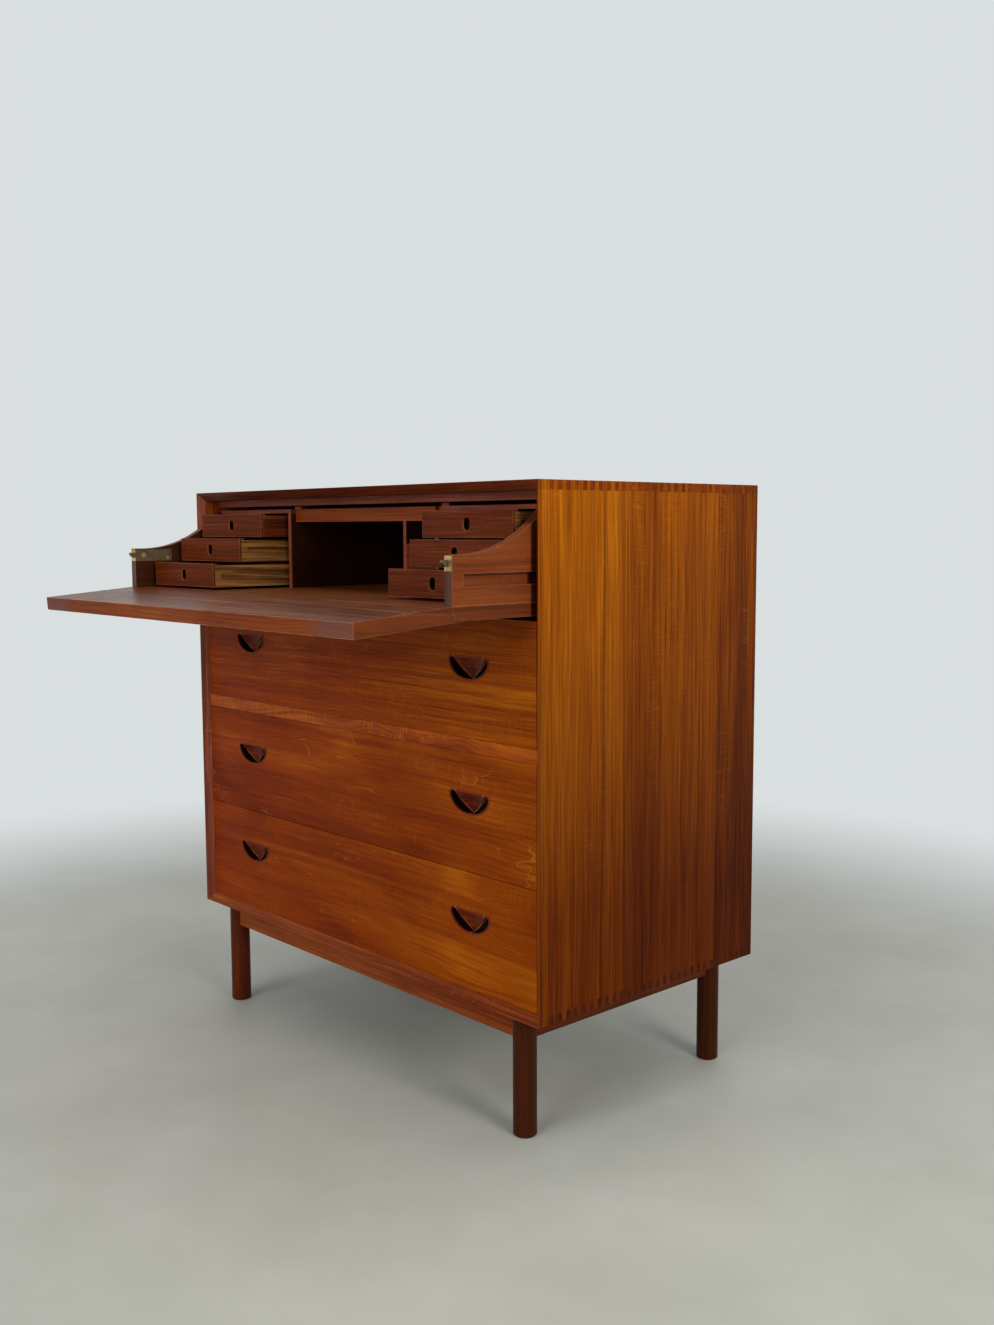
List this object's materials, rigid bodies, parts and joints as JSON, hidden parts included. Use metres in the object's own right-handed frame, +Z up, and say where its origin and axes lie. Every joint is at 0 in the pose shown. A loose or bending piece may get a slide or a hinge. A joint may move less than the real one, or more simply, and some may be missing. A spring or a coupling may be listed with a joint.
{
  "type": "chest_of_drawers",
  "caption": "Teak secretary chest: large drawers with half-moon pulls, a pull-out desk drawer with a fall flap and small inner drawers, on round legs",
  "frame": {"origin": "on the floor, under the middle of the overall box at rest, with the desk drawer out and its flap down", "axes": "+Z up; +X towards the right-hand side seen from the front; the front faces -Y"},
  "size_m": [0.92, 0.7988, 0.966],
  "materials": {
    "teak_case": "satin",
    "teak_front": "satin",
    "teak_desk": "satin",
    "teak_pull": "satin",
    "teak_base": "satin",
    "drawer_wood": "matte",
    "runner_wood": "matte",
    "back_board": "matte",
    "brass": "satin"
  },
  "bodies": {
    "case": {"side_panel_left": "teak_case", "side_panel_right": "teak_case", "top_panel": "teak_case", "bottom_panel": "teak_case", "back_panel": "back_board", "middle_rail": "teak_case", "desk_kicker": "teak_case", "drawer_runners": "runner_wood", "desk_runners": "runner_wood", "leg_front_left": "teak_base", "leg_front_right": "teak_base", "leg_rear_left": "teak_base", "leg_rear_right": "teak_base", "base_rails_long": "teak_base", "base_rails_short": "teak_base"},
    "drawer_lower": {"drawer_lower_front": "teak_front", "drawer_lower_box": "drawer_wood", "drawer_lower_bottom": "drawer_wood", "drawer_lower_pulls": "teak_pull"},
    "drawer_middle": {"drawer_middle_front": "teak_front", "drawer_middle_box": "drawer_wood", "drawer_middle_bottom": "drawer_wood", "drawer_middle_pulls": "teak_pull"},
    "drawer_upper": {"drawer_upper_front": "teak_front", "drawer_upper_box": "drawer_wood", "drawer_upper_bottom": "drawer_wood", "drawer_upper_pulls": "teak_pull"},
    "desk": {"desk_board": "teak_desk", "wing_left": "teak_desk", "wing_right": "teak_desk", "desk_back": "back_board", "column_panel_left": "teak_desk", "column_panel_right": "teak_desk", "column_tops": "teak_desk", "compartment_rail": "teak_desk", "compartment_top": "teak_desk", "compartment_partition": "teak_desk", "pen_board": "teak_desk", "small_drawer_runners": "runner_wood", "latch_plates": "brass", "latch_screws": "brass", "hinge_arms": "brass"},
    "flap": {"fall_flap": "teak_desk", "hinge_pins": "brass", "flap_strikes": "brass"},
    "bolt_left": {"latch_bolt_left": "brass"},
    "bolt_right": {"latch_bolt_right": "brass"},
    "small_drawer_left_low": {"small_drawer_left_low_front": "teak_front", "small_drawer_left_low_box": "drawer_wood"},
    "small_drawer_left_middle": {"small_drawer_left_middle_front": "teak_front", "small_drawer_left_middle_box": "drawer_wood"},
    "small_drawer_left_high": {"small_drawer_left_high_front": "teak_front", "small_drawer_left_high_box": "drawer_wood"},
    "small_drawer_right_low": {"small_drawer_right_low_front": "teak_front", "small_drawer_right_low_box": "drawer_wood"},
    "small_drawer_right_middle": {"small_drawer_right_middle_front": "teak_front", "small_drawer_right_middle_box": "drawer_wood"},
    "small_drawer_right_high": {"small_drawer_right_high_front": "teak_front", "small_drawer_right_high_box": "drawer_wood"}
  },
  "joints": [
    {"name": "desk_slide", "type": "slide", "parent": "case", "child": "desk", "axis": [0, 1, 0], "range_m": [0, 0.178]},
    {"name": "flap_hinge", "type": "hinge", "parent": "desk", "child": "flap", "pos_m": [0, -0.24221, 0.7939], "axis": [-1, 0, 0], "range_deg": [0, 94.5]},
    {"name": "drawer_lower_slide", "type": "slide", "parent": "case", "child": "drawer_lower", "axis": [0, -1, 0], "range_m": [0, 0.36]},
    {"name": "drawer_middle_slide", "type": "slide", "parent": "case", "child": "drawer_middle", "axis": [0, -1, 0], "range_m": [0, 0.36]},
    {"name": "drawer_upper_slide", "type": "slide", "parent": "case", "child": "drawer_upper", "axis": [0, -1, 0], "range_m": [0, 0.215]},
    {"name": "small_drawer_left_low_slide", "type": "slide", "parent": "desk", "child": "small_drawer_left_low", "axis": [0, 1, 0], "range_m": [-0.015, 0.145]},
    {"name": "small_drawer_left_middle_slide", "type": "slide", "parent": "desk", "child": "small_drawer_left_middle", "axis": [0, 1, 0], "range_m": [-0.068, 0.092]},
    {"name": "small_drawer_left_high_slide", "type": "slide", "parent": "desk", "child": "small_drawer_left_high", "axis": [0, 1, 0], "range_m": [-0.112, 0.048]},
    {"name": "small_drawer_right_low_slide", "type": "slide", "parent": "desk", "child": "small_drawer_right_low", "axis": [0, 1, 0], "range_m": [-0.053, 0.107]},
    {"name": "small_drawer_right_middle_slide", "type": "slide", "parent": "desk", "child": "small_drawer_right_middle", "axis": [0, 1, 0], "range_m": [-0.094, 0.066]},
    {"name": "small_drawer_right_high_slide", "type": "slide", "parent": "desk", "child": "small_drawer_right_high", "axis": [0, 1, 0], "range_m": [-0.118, 0.042]},
    {"name": "bolt_left_slide", "type": "slide", "parent": "desk", "child": "bolt_left", "axis": [0, 1, 0], "range_m": [0, 0.009], "stiffness_N_per_m": 150, "springref_m": -0.004},
    {"name": "bolt_right_slide", "type": "slide", "parent": "desk", "child": "bolt_right", "axis": [0, 1, 0], "range_m": [0, 0.009], "stiffness_N_per_m": 150, "springref_m": -0.004}
  ]
}
